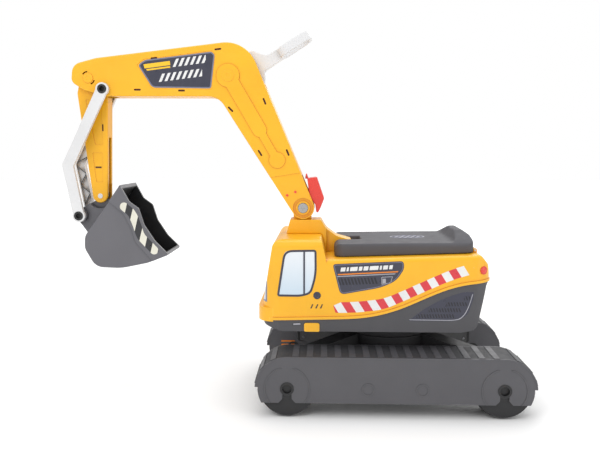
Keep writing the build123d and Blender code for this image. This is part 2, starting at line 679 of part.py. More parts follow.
def boom_fixings():
    cheek = BOOM_HALF - 0.6
    head = slab(disc(BOOM_FOOT, 7.7) - (Pos(*BOOM_FOOT) * (Rectangle(7, 1.6) + Rectangle(1.6, 7))),
                -cheek - 2.6, -cheek - 1.2)
    bolt = pin(BOOM_FOOT, BOLT_R, -cheek, cheek + 3) + pin(BOOM_FOOT, 7.7, -cheek - 1.2, -cheek) + head
    add("boom_bolt", bolt)
    nut_face = Pos(*BOOM_FOOT) * RegularPolygon(8.2, 6) - disc(BOOM_FOOT, BOLT_R)
    add("boom_nut", slab(nut_face, cheek, cheek + 4))
    screws = None
    for place in BOOM_SCREWS:
        screw = pin(place, 1.8, -19, BOOM_HALF - 2) + pin(place, 3.4, BOOM_HALF - 2, BOOM_HALF - 0.4)
        screws = screw if screws is None else screws + screw
    add("boom_screws", screws)
    add("lever_pivot_pin", pin(ELBOW, PIVOT_R, -BOOM_HALF - 1.2, BOOM_HALF + 1.2))
    add("dipper_pivot_pin", pin(DIPPER_TOP, PIVOT_R, -BOOM_HALF - 0.6, BOOM_HALF + 0.6))
    add("latch_pivot_pin", pin(LATCH_PIVOT, LATCH_PIN_R, -BOOM_HALF - 0.4, BOOM_HALF + 0.4))
    add("latch_stop_pin", pin(LATCH_STOP, LATCH_PIN_R, -BOOM_HALF - 0.4, BOOM_HALF + 0.4))
    tube = disc(LINK_TOP, RIVET_R) - disc(LINK_TOP, 4.2)
    cap = disc(LINK_TOP, RIVET_R)
    rivets = None
    for _, side in SIDES:
        rivet = sided(tube, side, 18, LINK_OUTER + 0.5) + sided(cap, side, 18, 27)
        rivets = rivet if rivets is None else rivets + rivet
    add("upper_link_rivets", rivets)


# ---------------------------------------------------------------- lever and push rod
GRIP_TILT = 32.0
GRIP_CENTRE = (-152.6, 557.6)
ROD_HALF = 3.0
LEVER_HALF = 6.0


def lever_rod_pin_place():
    return (ELBOW[0], ELBOW[1] + CRANK)


def dipper_rod_pin_place():
    return (DIPPER_TOP[0], DIPPER_TOP[1] + CRANK)


def control_lever():
    neck = outline((-248, 520), (-222, 549.5), (-197, 541.5, 10), (-176, 553.5), (-171, 536),
                   (-199, 517.5, 10), (-205, 500))
    blade = sector(ELBOW, 57, -12, 46) + neck + disc(ELBOW, 18) + disc(lever_rod_pin_place(), 7)
    body = both_sides(blade, LEVER_HALF)
    body += both_sides(disc(ELBOW, 9), BOOM_HALF - WALL - 0.5)
    grip_plane = Plane(origin=(GRIP_CENTRE[0], 0, GRIP_CENTRE[1]),
                       x_dir=(cos(radians(GRIP_TILT)), 0, sin(radians(GRIP_TILT))),
                       z_dir=(-sin(radians(GRIP_TILT)), 0, cos(radians(GRIP_TILT))))
    loop = RectangleRounded(56, 48, 15) - RectangleRounded(46, 38, 10)
    body += grip_plane * (Pos(0, 0, -7.25) * extrude(loop, amount=14.5))
    place = lever_rod_pin_place()
    fork = outline((place[0] - 30, place[1] - 16.5), (place[0] - 9, place[1] - 9),
                   (place[0] + 8, place[1] - 8.5), (place[0] + 8, place[1] + 30),
                   (place[0] - 30, place[1] + 30))
    body -= both_sides(fork, ROD_HALF + 0.4)
    body -= pin(ELBOW, PIVOT_R + RUN, -40, 40)
    return body - pin(place, ROD_PIN_R, -40, 40)


def push_rod():
    start = dipper_rod_pin_place()
    end = lever_rod_pin_place()
    face = bar(start, end, 7) + disc(start, 5.5) + disc(end, 5.5)
    face = face - disc(start, ROD_PIN_R + RUN) - disc(end, ROD_PIN_R + RUN)
    return both_sides(face, ROD_HALF)


# ---------------------------------------------------------------- dipper
DIPPER_HALF = DIPPER_THICK / 2
DIPPER_WALL = 2.2
DIPPER_ROUND = 1.8
DIPPER_SCREWS = ((-478.0, 450.0), (-466.0, 376.0))


def dipper_side():
    """Tapered arm: round tip about the bucket pivot, broad head round its own pivot."""
    return outline(
        round_tip(BUCKET_PIVOT, 12.4, -87.35, 4.35), (-500.8, 482, 10), (-492, 522, 13),
        (-467, 526, 11), (-461, 500, 20), (-451.4, 476, 4))


def dipper_shell(side):
    face = dipper_side()
    body = round_over(sided(face, side, 0, DIPPER_HALF), side, DIPPER_ROUND)
    body -= sided(offset(face, -DIPPER_WALL), side, -1, DIPPER_HALF - DIPPER_WALL)
    body += sided(disc(DIPPER_TOP, 8), side, 4.6, DIPPER_HALF - 1)
    for place in DIPPER_SCREWS:
        body += sided(disc(place, 3.6), side, 0, DIPPER_HALF - 1)
    body -= both_sides(outline((-515, 494), (-440, 494), (-440, 530), (-515, 530)), 8)
    body -= both_sides(Pos(-468, 320) * Rectangle(40, 34), 8.6)
    body -= both_sides(Pos(-450, 372) * Rectangle(16, 80), 6)
    upper = outline((-488, 474, 3), (-462, 466, 3), (-461, 400, 3), (-474, 400, 3))
    lower = outline((-479, 388, 2), (-462, 388, 2), (-463, 340, 2), (-474, 340, 2))
    for recess in (upper, lower):
        body -= sided(recess, side, DIPPER_HALF - 0.6, DIPPER_HALF + 1)
    for slot in (Pos(-461, 427.6) * Rectangle(2.8, 11), Pos(-470, 364.1) * Rectangle(10, 2.8)):
        body -= sided(slot, side, DIPPER_HALF - DIPPER_WALL - 1, DIPPER_HALF + 1)
    body -= pin(DIPPER_TOP, PIVOT_R + RUN, -20, 20)
    body -= pin(BUCKET_PIVOT, PIVOT_R, -20, 20)
    body -= pin(dipper_rod_pin_place(), ROD_PIN_R, -20, 20)
    for place in DIPPER_SCREWS:
        body -= pin(place, 1.6, -11, 20)
        body -= pin(place, 3.0, DIPPER_HALF - 1.6, 20)
    return body


def dipper():
    for name, side in SIDES:
        add(f"dipper_{name}_shell", dipper_shell(side))
    add("bucket_pivot_pin", pin(BUCKET_PIVOT, PIVOT_R, -DIPPER_HALF - 0.5, DIPPER_HALF + 0.5))
    add("dipper_rod_pin", pin(dipper_rod_pin_place(), ROD_PIN_R, -DIPPER_HALF, DIPPER_HALF))
    screws = None
    for place in DIPPER_SCREWS:
        screw = pin(place, 1.6, -10.5, DIPPER_HALF - 1.6)
        screw += pin(place, 3.0, DIPPER_HALF - 1.6, DIPPER_HALF - 0.3)
        screws = screw if screws is None else screws + screw
    add("dipper_screws", screws)


# ---------------------------------------------------------------- bucket links
LINK_INNER = 25.5
LINK_OUTER = 32.5
LINK_FLANGE = 2.0
LINK_WIDTH = 17.0
LINK_SPINE = (LINK_TOP, (-495.8, 402.5), (-513.2, 367.6), LINK_LOW)


def link_side(width, ring):
    face = disc(LINK_TOP, ring) + disc(LINK_LOW, ring)
    for start, end in zip(LINK_SPINE, LINK_SPINE[1:]):
        face += bar(start, end, width)
    return face


def link_truss():
    """Zigzag ribs along the open inner side of the link."""
    ribs = []
    reach = LINK_WIDTH / 2 - 1
    for (x0, z0), (x1, z1) in zip(LINK_SPINE, LINK_SPINE[1:]):
        length = hypot(x1 - x0, z1 - z0)
        ux, uz = (x1 - x0) / length, (z1 - z0) / length
        bays = max(2, round(length / 17))
        for i in range(bays):
            flip = reach if i % 2 else -reach
            a = length * i / bays
            b = length * (i + 1) / bays
            start = (x0 + ux * a - uz * flip, z0 + uz * a + ux * flip)
            end = (x0 + ux * b + uz * flip, z0 + uz * b - ux * flip)
            ribs.append(bar(start, end, 1.4))
    return ribs


def bucket_link(side):
    body = sided(link_side(LINK_WIDTH, 10), side, LINK_INNER, LINK_OUTER)
    pocket = link_side(LINK_WIDTH - 3.6, 6)
    body -= sided(pocket, side, LINK_INNER - 1, LINK_OUTER - LINK_FLANGE)
    for rib in link_truss():
        body += sided(rib, side, LINK_INNER + 0.6, LINK_OUTER - 1)
    for place in (LINK_TOP, LINK_LOW):
        body += sided(disc(place, 10), side, LINK_INNER, LINK_OUTER)
    body -= pin(LINK_TOP, RIVET_R + RUN, -40, 40)
    return body - pin(LINK_LOW, RIVET_R, -40, 40)


def lower_link_pin():
    body = both_sides(disc(LINK_LOW, OPEN_PIN_R), LINK_OUTER - 4)
    ring = disc(LINK_LOW, RIVET_R) - disc(LINK_LOW, 4.2)
    for _, side in SIDES:
        body += sided(disc(LINK_LOW, RIVET_R), side, LINK_INNER, LINK_OUTER - 4)
        body += sided(ring, side, LINK_OUTER - 4, LINK_OUTER + 0.5)
    return body


# ---------------------------------------------------------------- bucket
BUCKET_HALF = BUCKET_WIDTH / 2
BUCKET_WALL = 2.6
BUCKET_ROUND = 2.5
BAND_STEP = 1.6
BUCKET_INSIDE = BUCKET_HALF - BAND_STEP - 2.2
LINER = 1.2
LUG_HALF = 8.0


def bucket_side():
    return outline(
        (-426, 337), (-412, 311, 8), (-397, 300, 6), (-389, 274, 20), (-372, 248, 20), (-352.5, 228.5),
        (-353, 225.6), (-385, 213, 40), (-428, 204.2, 80), (-469, 206, 22), (-486, 236, 20),
        (-485, 256, 20), (-446.5, 308, 10))


def bucket_front_band():
    """The raised band that follows the opening on each side wall."""
    return outline(
        (-446, 313), (-421, 292, 8), (-409, 268, 20), (-403, 247, 20), (-376, 216), (-340, 200),
        (-330, 260), (-400, 350), (-440, 350))


def bucket_hollow(inset):
    face = offset(bucket_side(), -inset)
    return face + Pos(4.8, 3.6) * face + Pos(9.6, 7.2) * face


def bucket():
    side_face = bucket_side()
    body = both_sides(side_face, BUCKET_HALF - BAND_STEP)
    for y in (BAND_STEP - BUCKET_HALF, BUCKET_HALF - BAND_STEP):
        body = fillet(body.edges().filter_by_position(Axis.Y, y, y), BUCKET_ROUND)
    body += both_sides(side_face & bucket_front_band(), BUCKET_HALF)
    web = outline((-507, 283, 8), (-494, 300, 8), (-474, 312, 6), (-450, 312), (-440, 300), (-470, 262),
                  (-484, 252), (-497, 270, 4))
    wide = web - disc(BUCKET_PIVOT, 14.6)
    body += both_sides(web + disc(BUCKET_PIVOT, 9), LUG_HALF)
    body += both_sides(wide - disc(BUCKET_PIVOT, 20), 18)
    body += both_sides(disc(LINK_LOW, 11), LINK_INNER - 0.7)
    body -= both_sides(bucket_hollow(BUCKET_WALL), BUCKET_INSIDE)
    body -= both_sides(disc(LINK_LOW, OPEN_BORE_R), 40)
    return body - pin(BUCKET_PIVOT, PIVOT_R + RUN, -40, 40)


def bucket_liner():
    inside = bucket_hollow(BUCKET_WALL) & bucket_side()
    body = both_sides(inside, BUCKET_INSIDE)
    return body - both_sides(bucket_hollow(BUCKET_WALL + LINER), BUCKET_INSIDE - LINER)


# ---------------------------------------------------------------- latch
def latch_lever():
    """Thumb latch at the boom's foot: paddle outside, arm and tooth inside."""
    paddle = outline((-132, 347, 1), (-116.5, 349, 2), (-104.5, 314.5, 3), (-110, 300, 5),
                     (-116.5, 287.5, 2), (-119, 305), (-128, 318))
    arm = bar(LATCH_PIVOT, (-124, 326), 9) + disc(LATCH_PIVOT, 6)
    tooth = bar(polar(BOOM_FOOT, 20.6, 60), (-126, 322), 4)
    fin = outline((-135.5, 346), (-134, 354), (-132.6, 354), (-130, 346))
    body = both_sides(paddle, 15) + both_sides(arm + tooth + fin, 8)
    return body - pin(LATCH_PIVOT, LATCH_PIN_R + RUN, -20, 20)


# ---------------------------------------------------------------- assembly
def front_end():
    for name, side in SIDES:
        add(f"boom_{name}_shell", boom_shell(side))
        add(f"{name}_bucket_link", bucket_link(side))
    boom_fixings()
    add("control_lever", control_lever())
    place = lever_rod_pin_place()
    add("lever_rod_pin", pin(place, ROD_PIN_R, -LEVER_HALF, LEVER_HALF))
    add("push_rod", push_rod())
    dipper()
    add("lower_link_pin", lower_link_pin())
    add("bucket", bucket())
    add("bucket_liner", bucket_liner())
    add("latch_lever", latch_lever())


def export_all():
    boxes = [shape.bounding_box() for shape in PARTS.values()]
    low = min(b.min.X for b in boxes)
    high = max(b.max.X for b in boxes)
    shift = Pos(-round((low + high) / 2, 2), 0, 0)
    os.makedirs("parts", exist_ok=True)
    for name, shape in PARTS.items():
        solids = (shift * shape).solids()
        placed = solids[0] if len(solids) == 1 else Compound(children=list(solids))
        export_step(placed, f"parts/{name}.step")


undercarriage()
house()
front_end()
export_all()
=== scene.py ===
"""Toy excavator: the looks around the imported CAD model, in metres, in the CAD's own frame.

Stickers and small trim are laid out in millimetres: x from the swivel axis, z above the ground,
y from the middle plane.
"""
import json
from math import cos, pi, radians, sin

import bpy
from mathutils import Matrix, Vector
from mathutils.bvhtree import BVHTree


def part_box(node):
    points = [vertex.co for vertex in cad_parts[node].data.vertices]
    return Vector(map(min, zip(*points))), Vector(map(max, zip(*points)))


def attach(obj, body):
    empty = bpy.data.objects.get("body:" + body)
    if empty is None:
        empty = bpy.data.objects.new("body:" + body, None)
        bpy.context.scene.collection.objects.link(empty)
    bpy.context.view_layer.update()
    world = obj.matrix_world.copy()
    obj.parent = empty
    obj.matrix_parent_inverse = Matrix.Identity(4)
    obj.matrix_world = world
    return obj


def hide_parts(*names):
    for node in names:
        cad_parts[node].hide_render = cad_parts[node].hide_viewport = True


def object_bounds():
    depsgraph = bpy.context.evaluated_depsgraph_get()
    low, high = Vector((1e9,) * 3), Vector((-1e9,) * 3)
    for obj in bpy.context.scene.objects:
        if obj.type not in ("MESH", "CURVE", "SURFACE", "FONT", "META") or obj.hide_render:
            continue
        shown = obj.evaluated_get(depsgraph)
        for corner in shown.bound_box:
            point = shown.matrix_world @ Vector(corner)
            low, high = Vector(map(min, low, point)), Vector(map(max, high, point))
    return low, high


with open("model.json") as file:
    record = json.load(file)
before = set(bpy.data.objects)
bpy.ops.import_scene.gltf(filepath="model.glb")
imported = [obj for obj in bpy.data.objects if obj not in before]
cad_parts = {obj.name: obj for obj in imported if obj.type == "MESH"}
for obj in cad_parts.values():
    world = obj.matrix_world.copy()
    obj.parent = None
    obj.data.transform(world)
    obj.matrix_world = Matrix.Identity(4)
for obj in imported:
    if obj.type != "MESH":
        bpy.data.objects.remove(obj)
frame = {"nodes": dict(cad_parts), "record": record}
CAD_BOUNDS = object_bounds()
NODES = frame["nodes"]

MM = 0.001
SIDES = (-1, 1)
SIDE_NAMES = {-1: "left", 1: "right"}


def middle(node, axis):
    low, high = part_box(node)
    return (low[axis] + high[axis]) / 2


SWIVEL_X = middle("kingpin", 0)


def centre_of(node):
    """A pin's place on the side views."""
    return Vector(((middle(node, 0) - SWIVEL_X) / MM, middle(node, 2) / MM))


SHELL_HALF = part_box("right_window")[1][1] / MM         # flat side of the yellow house
PAN_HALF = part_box("lower_pan")[1][1] / MM              # flat side of the grey pan
BOOM_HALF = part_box("dipper_pivot_pin")[1][1] / MM - 0.6
PANEL_HALF = BOOM_HALF - 0.5                           # floor of the boom's recessed panel
BUCKET_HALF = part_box("bucket")[1][1] / MM
TRACK_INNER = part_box("right_track_housing")[0][1] / MM
DIPPER_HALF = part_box("dipper_right_shell")[1][1] / MM
LINK_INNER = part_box("right_bucket_link")[0][1] / MM    # open side of the bucket's link
LINK_TOP = centre_of("upper_link_rivets")
LINK_LOW = centre_of("lower_link_pin")
STICKER = 0.15                                         # thickness of a printed foil
INK = 0.15                                             # thickness of what is printed on a foil
THIN_INK = 0.12
SEAT_TOP = 251.0                                       # seat's height above the swivel axis
SEAT_SLOPE = 0.0129


# ---------------------------------------------------------------- outlines
def rounded(corners, steps=6):
    """Closed outline from (x, z, radius) corners."""
    points = []
    count = len(corners)
    for i, (x, z, radius) in enumerate(corners):
        here = Vector((x, z))
        back = (Vector(corners[i - 1][:2]) - here)
        ahead = (Vector(corners[(i + 1) % count][:2]) - here)
        reach = min(radius, 0.45 * min(back.length, ahead.length))
        start = here + back.normalized() * reach
        end = here + ahead.normalized() * reach
        for step in range(steps + 1):
            t = step / steps
            points.append((1 - t) ** 2 * start + 2 * t * (1 - t) * here + t ** 2 * end)
    return points


def smooth_line(knots, steps=8):
    """Open curve through a few points."""
    knots = [Vector(k) for k in knots]
    ends = [2 * knots[0] - knots[1]] + knots + [2 * knots[-1] - knots[-2]]
    points = []
    for a, b, c, d in zip(ends, ends[1:], ends[2:], ends[3:]):
        for step in range(steps):
            t = step / steps
            points.append(0.5 * (2 * b + (c - a) * t + (2 * a - 5 * b + 4 * c - d) * t ** 2
                                 + (3 * b - a - 3 * c + d) * t ** 3))
    return points + [knots[-1]]


def ellipse(centre, half_x, half_z, steps=48):
    angles = [2 * pi * i / steps for i in range(steps)]
    return [Vector((centre[0] + half_x * cos(a), centre[1] + half_z * sin(a))) for a in angles]


def inset(points, distance):
    """The outline drawn in by distance, whichever way round it runs."""
    area = sum(a.x * b.y - b.x * a.y for a, b in zip(points, points[1:] + points[:1]))
    turn = 1 if area > 0 else -1
    moved = []
    for i, here in enumerate(points):
        along = points[(i + 1) % len(points)] - points[i - 1]
        if along.length == 0:
            continue
        along.normalize()
        moved.append(here + turn * distance * Vector((-along.y, along.x)))
    return moved


def clip(points, origin, normal):
    """The part of an outline on the side of a line that its normal points to."""
    kept = []
    for a, b in zip(points, points[1:] + points[:1]):
        da = (a - origin).dot(normal)
        db = (b - origin).dot(normal)
        if da >= 0:
            kept.append(a)
        if (da >= 0) != (db >= 0):
            kept.append(a + (b - a) * (da / (da - db)))
    return kept


def bars(area, start, pitch, lean, count, share=1.0):
    """Slanted bars cut from an area. start is the left edge's place at z = start[1], lean is the
    bar's shift in x per millimetre up, and share is the bar's part of each pitch."""
    normal = Vector((1, -lean)).normalized()
    cut = []
    for i in range(count):
        left = Vector((start[0] + i * pitch, start[1]))
        right = left + Vector((pitch * share, 0))
        piece = clip(clip(area, left, normal), right, -normal)
        if len(piece) > 2:
            cut.append(piece)
    return cut


def straight(corners):
    return [Vector(corner) for corner in corners]


def strip_between(a, b, width):
    across = (b - a).normalized().orthogonal() * (width / 2)
    return [a + across, b + across, b - across, a - across]


# ---------------------------------------------------------------- meshes
def on_side(face, side, facing=1):
    """Places an outline's (x, z) on a side face that stands face millimetres from the middle
    plane. facing is 1 for a face that looks outwards and -1 for one that looks inwards."""
    def place(x, z, out):
        return Vector((SWIVEL_X + x * MM, side * (face + facing * out) * MM, z * MM))
    return place


def on_seat(x, y, out):
    return Vector((SWIVEL_X + x * MM, y * MM, (SEAT_TOP + SEAT_SLOPE * x + out) * MM))


def finish_piece(name, verts, faces, material, body, smooth=False):
    mesh = bpy.data.meshes.new(name)
    mesh.from_pydata(verts, [], faces)
    mesh.validate()
    piece = bpy.data.objects.new(name, mesh)
    bpy.context.scene.collection.objects.link(piece)
    mesh.materials.append(material)
    bpy.context.view_layer.objects.active = piece
    bpy.ops.object.select_all(action="DESELECT")
    piece.select_set(True)
    bpy.ops.object.mode_set(mode="EDIT")
    bpy.ops.mesh.select_all(action="SELECT")
    bpy.ops.mesh.normals_make_consistent(inside=False)
    bpy.ops.object.mode_set(mode="OBJECT")
    if smooth:
        mesh.shade_smooth()
    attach(piece, body)
    return piece


def plate(name, loops, place, thick, material, body, sunk=0.05):
    """Flat closed sheets of the given outlines, lying on a face."""
    verts = []
    faces = []
    for loop in loops:
        first = len(verts)
        count = len(loop)
        verts += [place(p.x, p.y, -sunk) for p in loop]
        verts += [place(p.x, p.y, thick) for p in loop]
        faces.append(tuple(range(first, first + count)))
        faces.append(tuple(range(first + count, first + 2 * count)))
        for i in range(count):
            j = (i + 1) % count
            faces.append((first + i, first + j, first + count + j, first + count + i))
    return finish_piece(name, verts, faces, material, body)


def ring(name, outer, width, place, thick, material, body, sunk=0.05):
    """A closed band of that width inside an outline, with a rounded front."""
    section = ((0.0, -sunk), (0.0, thick * 0.6), (0.25, thick), (0.75, thick), (1.0, thick * 0.6),
               (1.0, -sunk))
    rows = [(inset(outer, width * across), out) for across, out in section]
    count = min(len(points) for points, _ in rows)
    verts = [place(p.x, p.y, out) for points, out in rows for p in points[:count]]
    faces = []
    for row in range(len(rows)):
        below = row * count
        above = (row + 1) % len(rows) * count
        for i in range(count):
            j = (i + 1) % count
            faces.append((below + i, below + j, above + j, above + i))
    return finish_piece(name, verts, faces, material, body)


def turned(name, profile, centre, axis, material, body, steps=40):
    """A turned piece: profile of (radius, height) in mm along an axis from a point in metres."""
    axis = axis.normalized()
    across = axis.orthogonal().normalized()
    other = axis.cross(across)
    verts = []
    for radius, height in profile:
        for i in range(steps):
            a = 2 * pi * i / steps
            verts.append(centre + (axis * height + (across * cos(a) + other * sin(a)) * radius) * MM)
    faces = [tuple(range(steps)), tuple(range((len(profile) - 1) * steps, len(profile) * steps))]
    for row in range(len(profile) - 1):
        for i in range(steps):
            j = (i + 1) % steps
            below = row * steps
            faces.append((below + i, below + j, below + steps + j, below + steps + i))
    return finish_piece(name, verts, faces, material, body, smooth=True)


def surface_point(node, start, heading):
    """Where a ray first meets a CAD node, and the surface's outward normal there."""
    mesh = NODES[node].data
    tree = BVHTree.FromPolygons([v.co for v in mesh.vertices], [p.vertices for p in mesh.polygons])
    place, normal, _, _ = tree.ray_cast(start, heading)
    return place, normal if normal.dot(heading) < 0 else -normal


def soften(node, voxel, rounds, material, body):
    """Stands a copy with rounded edges in for a CAD node, as moulded plastic has them."""
    draft = bpy.data.objects.new("draft", NODES[node].data.copy())
    bpy.context.scene.collection.objects.link(draft)
    remesh = draft.modifiers.new("remesh", "REMESH")
    remesh.mode = "VOXEL"
    remesh.voxel_size = voxel * MM
    relax = draft.modifiers.new("relax", "SMOOTH")
    relax.factor = 0.5
    relax.iterations = rounds
    shape = draft.evaluated_get(bpy.context.evaluated_depsgraph_get())
    mesh = bpy.data.meshes.new_from_object(shape)
    bpy.data.objects.remove(draft)
    mesh.name = node + "_moulded"
    mesh.materials.clear()
    mesh.materials.append(material)
    mesh.shade_smooth()
    piece = bpy.data.objects.new(node + "_moulded", mesh)
    bpy.context.scene.collection.objects.link(piece)
    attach(piece, body)
    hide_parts(node)
    return piece


# ---------------------------------------------------------------- materials
class Recipe:
    """A Principled material whose nodes are added step by step."""

    def __init__(self, name):
        self.material = bpy.data.materials.new(name)
        self.material.use_nodes = True
        self.nodes = self.material.node_tree.nodes
        self.links = self.material.node_tree.links
        self.shader = self.nodes["Principled BSDF"]
        self.place = self.nodes.new("ShaderNodeTexCoord").outputs["Object"]

    def noise(self, scale, detail=3.0, stretch=None):
        vector = self.place
        if stretch:
            mapping = self.nodes.new("ShaderNodeMapping")
            mapping.inputs["Scale"].default_value = stretch
            self.links.new(vector, mapping.inputs["Vector"])
            vector = mapping.outputs["Vector"]
        texture = self.nodes.new("ShaderNodeTexNoise")
        texture.inputs["Scale"].default_value = scale
        texture.inputs["Detail"].default_value = detail
        self.links.new(vector, texture.inputs["Vector"])
        return texture.outputs["Fac"]

    def span(self, value, low, high, from_low=0.3, from_high=0.7):
        node = self.nodes.new("ShaderNodeMapRange")
        for socket, number in (("From Min", from_low), ("From Max", from_high),
                               ("To Min", low), ("To Max", high)):
            node.inputs[socket].default_value = number
        self.links.new(value, node.inputs["Value"])
        return node.outputs["Result"]

    def mix(self, factor, first, second):
        """Mixes two colours, each a tuple or another node's output."""
        node = self.nodes.new("ShaderNodeMix")
        node.data_type = "RGBA"
        self.links.new(factor, node.inputs[0])
        for socket, colour in ((node.inputs[6], first), (node.inputs[7], second)):
            if isinstance(colour, tuple):
                socket.default_value = (*colour, 1)
            else:
                self.links.new(colour, socket)
        return node.outputs[2]

    def edge(self, radius):
        """1 on edges and corners sharper than the radius in mm, 0 on open faces."""
        bevel = self.nodes.new("ShaderNodeBevel")
        bevel.samples = 4
        bevel.inputs["Radius"].default_value = radius * MM
        geometry = self.nodes.new("ShaderNodeNewGeometry")
        product = self.nodes.new("ShaderNodeVectorMath")
        product.operation = "DOT_PRODUCT"
        self.links.new(bevel.outputs["Normal"], product.inputs[0])
        self.links.new(geometry.outputs["Normal"], product.inputs[1])
        return self.span(product.outputs["Value"], 1.0, 0.0, 0.80, 0.995)

    def painted_crevice_shade(self, reach):
        """Painted shade mask: 1 in grooves and inner corners within reach in mm, where ambient
        occlusion finds them, 0 on open faces.
        """
        node = self.nodes.new("ShaderNodeAmbientOcclusion")
        node.samples = 6
        node.only_local = True
        node.inputs["Distance"].default_value = reach * MM
        return self.span(node.outputs["AO"], 1.0, 0.0, 0.45, 0.92)

    def height(self, axis, low, high):
        """0 at low and 1 at high along an axis, in metres."""
        split = self.nodes.new("ShaderNodeSeparateXYZ")
        self.links.new(self.place, split.inputs[0])
        return self.span(split.outputs[axis], 0.0, 1.0, low, high)

    def larger(self, first, second):
        node = self.nodes.new("ShaderNodeMath")
        node.operation = "MAXIMUM"
        self.links.new(first, node.inputs[0])
        self.links.new(second, node.inputs[1])
        return node.outputs[0]

    def colour(self, output):
        self.links.new(output, self.shader.inputs["Base Color"])

    def roughness(self, output):
        self.links.new(output, self.shader.inputs["Roughness"])

    def bump(self, output, depth, strength=1.0):
        """Relief of that depth in mm."""
        node = self.nodes.new("ShaderNodeBump")
        node.inputs["Strength"].default_value = strength
        node.inputs["Distance"].default_value = depth * MM
        self.links.new(output, node.inputs["Height"])
        self.links.new(node.outputs["Normal"], self.shader.inputs["Normal"])

    def set(self, **values):
        for name, value in values.items():
            self.shader.inputs[name.replace("_", " ")].default_value = value


def shade(colour, factor):
    return tuple(channel * factor for channel in colour)


def plastic(name, colour, rough, grain=260.0, grain_depth=0.02, wear=0.12, worn=None, crevice_shade_colour=None,
            shine=0.5, coat=0.0):
    """Moulded plastic: cloudy colour, fine grain, painted shade that darkens grooves and inner
    corners, paler rubbed edges, uneven gloss.
    """
    recipe = Recipe(name)
    cloud = recipe.span(recipe.noise(14.0, 4.0), 0.0, 1.0)
    base = recipe.mix(cloud, shade(colour, 0.94), shade(colour, 1.04))
    rubbed = worn or tuple(channel + (1 - channel) * wear for channel in colour)
    edged = recipe.mix(recipe.edge(0.7), base, rubbed)
    # painted shade: grooves and inner corners darkened towards a darker copy of the colour
    recipe.colour(recipe.mix(recipe.painted_crevice_shade(7.0), edged, crevice_shade_colour or shade(colour, 0.45)))
    recipe.roughness(recipe.span(recipe.noise(60.0, 5.0), rough - 0.05, rough + 0.07))
    recipe.bump(recipe.noise(grain * 10, 2.0), grain_depth)
    recipe.set(IOR=1.5, Specular_IOR_Level=shine)
    if coat:
        recipe.set(Coat_Weight=coat, Coat_Roughness=0.12)
    return recipe.material


def foil(name, colour, rough=0.32):
    """Printed sticker foil: thin ink clouds under a smooth film."""
    recipe = Recipe(name)
    cloud = recipe.span(recipe.noise(45.0, 4.0), 0.0, 1.0)
    recipe.colour(recipe.mix(cloud, shade(colour, 0.93), shade(colour, 1.03)))
    recipe.roughness(recipe.span(recipe.noise(90.0, 3.0), rough - 0.05, rough + 0.06))
    recipe.bump(recipe.noise(120.0, 2.0), 0.03, 0.4)
    return recipe.material


def metal(name, colour, rough, brushed=True):
    recipe = Recipe(name)
    stretch = (1.0, 14.0, 1.0) if brushed else None
    lines = recipe.noise(700.0, 2.0, stretch)
    recipe.colour(recipe.mix(recipe.span(lines, 0.0, 1.0), shade(colour, 0.85), colour))
    recipe.roughness(recipe.span(lines, rough - 0.05, rough + 0.08))
    recipe.bump(lines, 0.01, 0.5)
    recipe.set(Metallic=1.0)
    return recipe.material


def glazing():
    """Printed window: near white at the top, sky blue towards the sill, with soft streaks."""
    recipe = Recipe("window_print")
    low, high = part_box("left_window")
    rise = recipe.height("Z", low[2], high[2])
    sky = recipe.mix(rise, (0.52, 0.64, 0.74), (0.74, 0.77, 0.80))
    streak = recipe.span(recipe.noise(16.0, 1.0, (1.0, 0.3, 0.25)), 0.0, 1.0, 0.45, 0.62)
    recipe.colour(recipe.mix(streak, sky, (0.73, 0.76, 0.79)))
    recipe.roughness(recipe.span(recipe.noise(40.0, 2.0), 0.12, 0.2))
    recipe.bump(recipe.noise(30.0, 1.0), 0.05, 0.3)
    recipe.set(Coat_Weight=0.4, Coat_Roughness=0.08)
    return recipe.material


YELLOW = (0.87, 0.44, 0.016)
GREYS = {"track_grey": 0.082, "pan_grey": 0.066, "seat_black": 0.090, "bucket_grey": 0.125,
         "wheel_black": 0.014, "liner_black": 0.012, "tray_grey": 0.060}
SLATE = (0.040, 0.041, 0.064)


def grey(name, rough, **more):
    """Dark plastic with a slightly cold tint."""
    level = GREYS[name]
    return plastic(name, (level, level * 0.985, level * 1.09), rough, wear=0.05, **more)


